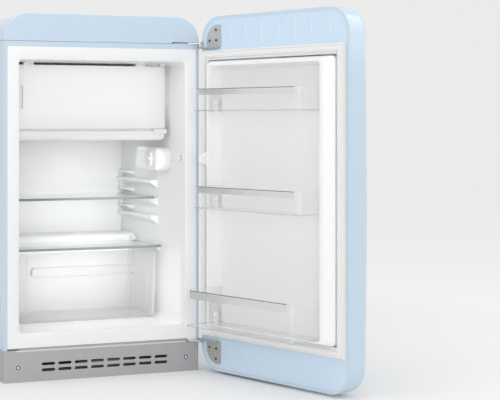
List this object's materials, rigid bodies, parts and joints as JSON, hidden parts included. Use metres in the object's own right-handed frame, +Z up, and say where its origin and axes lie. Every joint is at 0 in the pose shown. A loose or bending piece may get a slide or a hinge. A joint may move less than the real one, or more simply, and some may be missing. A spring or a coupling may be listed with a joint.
{
  "type": "refrigerator",
  "caption": "Compact rounded refrigerator with one crowned door open on its right hinges, ice box with flap, glass shelf, crisper drawer and clear door balconies.",
  "frame": {"origin": "on the floor under the middle of the cabinet's footprint, door not counted", "axes": "+Z up, +Y to the back of the cabinet, +X to the hinge side (the right when facing the door)"},
  "size_m": [0.8211, 1.0734, 0.96],
  "materials": {
    "body_enamel": "gloss",
    "band_blue": "gloss",
    "liner_white": "satin",
    "foam": "matte",
    "zinc_sheet": "satin",
    "base_black": "matte",
    "black_plastic": "matte",
    "steel_screws": "satin",
    "evaporator_metal": "satin",
    "clear_plastic": "gloss",
    "clear_glass": "gloss",
    "trim_metal": "polished",
    "trim_white": "gloss",
    "lamp_lens": "satin",
    "seal_grey": "matte",
    "copper": "satin",
    "plinth_grey": "satin"
  },
  "bodies": {
    "cabinet": {"arm_screws": "steel_screws", "back_panel": "zinc_sheet", "base_frame": "zinc_sheet", "compressor": "base_black", "compressor_bay_panel": "zinc_sheet", "condenser": "base_black", "cover_keepers": "trim_white", "door_switch": "trim_white", "drain_spout": "trim_white", "evaporation_pan": "black_plastic", "flap_pivots": "trim_white", "hinge_pins": "steel_screws", "hinge_spacer": "trim_white", "ice_box": "evaporator_metal", "ice_box_hangers": "trim_white", "inner_liner": "liner_white", "insulation": "foam", "lamp_bulb": "clear_glass", "lamp_cover": "lamp_lens", "lamp_holder": "trim_white", "levelling_feet": "black_plastic", "lower_hinge_arm": "steel_screws", "melt_tray": "trim_white", "outer_wrapper": "body_enamel", "plinth": "plinth_grey", "plinth_screws": "steel_screws", "refrigerant_tubes": "copper", "relay_box": "black_plastic", "thermostat": "black_plastic", "thermostat_housing": "trim_white", "top_cap": "body_enamel", "tray_clips": "trim_white", "upper_hinge_arm": "steel_screws"},
    "door": {"door_skin": "body_enamel", "door_core": "foam", "door_liner": "liner_white", "door_gasket": "seal_grey", "door_top_band": "band_blue", "door_bottom_band": "band_blue", "upper_door_bracket": "steel_screws", "lower_door_bracket": "steel_screws", "hinge_bushes": "black_plastic", "bracket_screws": "steel_screws", "switch_actuator": "liner_white", "door_handle": "trim_metal", "handle_feet": "trim_metal"},
    "flap": {"ice_box_flap": "trim_white"},
    "drawer": {"crisper_drawer": "clear_plastic"},
    "shelf": {"glass_shelf": "clear_glass", "shelf_trim": "trim_white"},
    "cover": {"crisper_cover": "clear_glass", "cover_trim": "trim_white"},
    "knob": {"thermostat_knob": "trim_white"},
    "plunger": {"switch_plunger": "trim_white"},
    "upper_bin": {"upper_balcony": "clear_plastic", "upper_balcony_strip": "trim_metal"},
    "middle_bin": {"middle_balcony": "clear_plastic", "middle_balcony_strip": "trim_metal"},
    "bottle_bin": {"bottle_balcony": "clear_plastic", "bottle_balcony_strip": "trim_metal"}
  },
  "joints": [
    {"name": "door_hinge", "type": "hinge", "parent": "cabinet", "child": "door", "pos_m": [0.2725, -0.2823, 0.48], "axis": [0, 0, 1], "range_deg": [-108, 12]},
    {"name": "flap_hinge", "type": "hinge", "parent": "cabinet", "child": "flap", "pos_m": [0.21, -0.157, 0.743], "axis": [0, 0, 1], "range_deg": [0, 85]},
    {"name": "drawer_slide", "type": "slide", "parent": "cabinet", "child": "drawer", "axis": [0, -1, 0], "range_m": [0, 0.2]},
    {"name": "shelf_slide", "type": "slide", "parent": "cabinet", "child": "shelf", "axis": [0, -1, 0], "range_m": [0, 0.15]},
    {"name": "cover_slide", "type": "slide", "parent": "cabinet", "child": "cover", "axis": [0, -1, 0], "range_m": [0, 0.14]},
    {"name": "thermostat_turn", "type": "hinge", "parent": "cabinet", "child": "knob", "pos_m": [0.19, -0.116, 0.5743], "axis": [-1, 0, 0], "range_deg": [0, 270]},
    {"name": "switch_press", "type": "slide", "parent": "cabinet", "child": "plunger", "axis": [1, 0, 0], "range_m": [-0.001, 0.007]},
    {"name": "upper_bin_lift", "type": "slide", "parent": "door", "child": "upper_bin", "axis": [0, 0, 1], "range_m": [0, 0.02]},
    {"name": "middle_bin_lift", "type": "slide", "parent": "door", "child": "middle_bin", "axis": [0, 0, 1], "range_m": [0, 0.02]},
    {"name": "bottle_bin_lift", "type": "slide", "parent": "door", "child": "bottle_bin", "axis": [0, 0, 1], "range_m": [0, 0.02]}
  ],
  "couplings": [
    {"joint": "switch_press", "follows": "door_hinge", "m_per_rad": -0.0036}
  ]
}
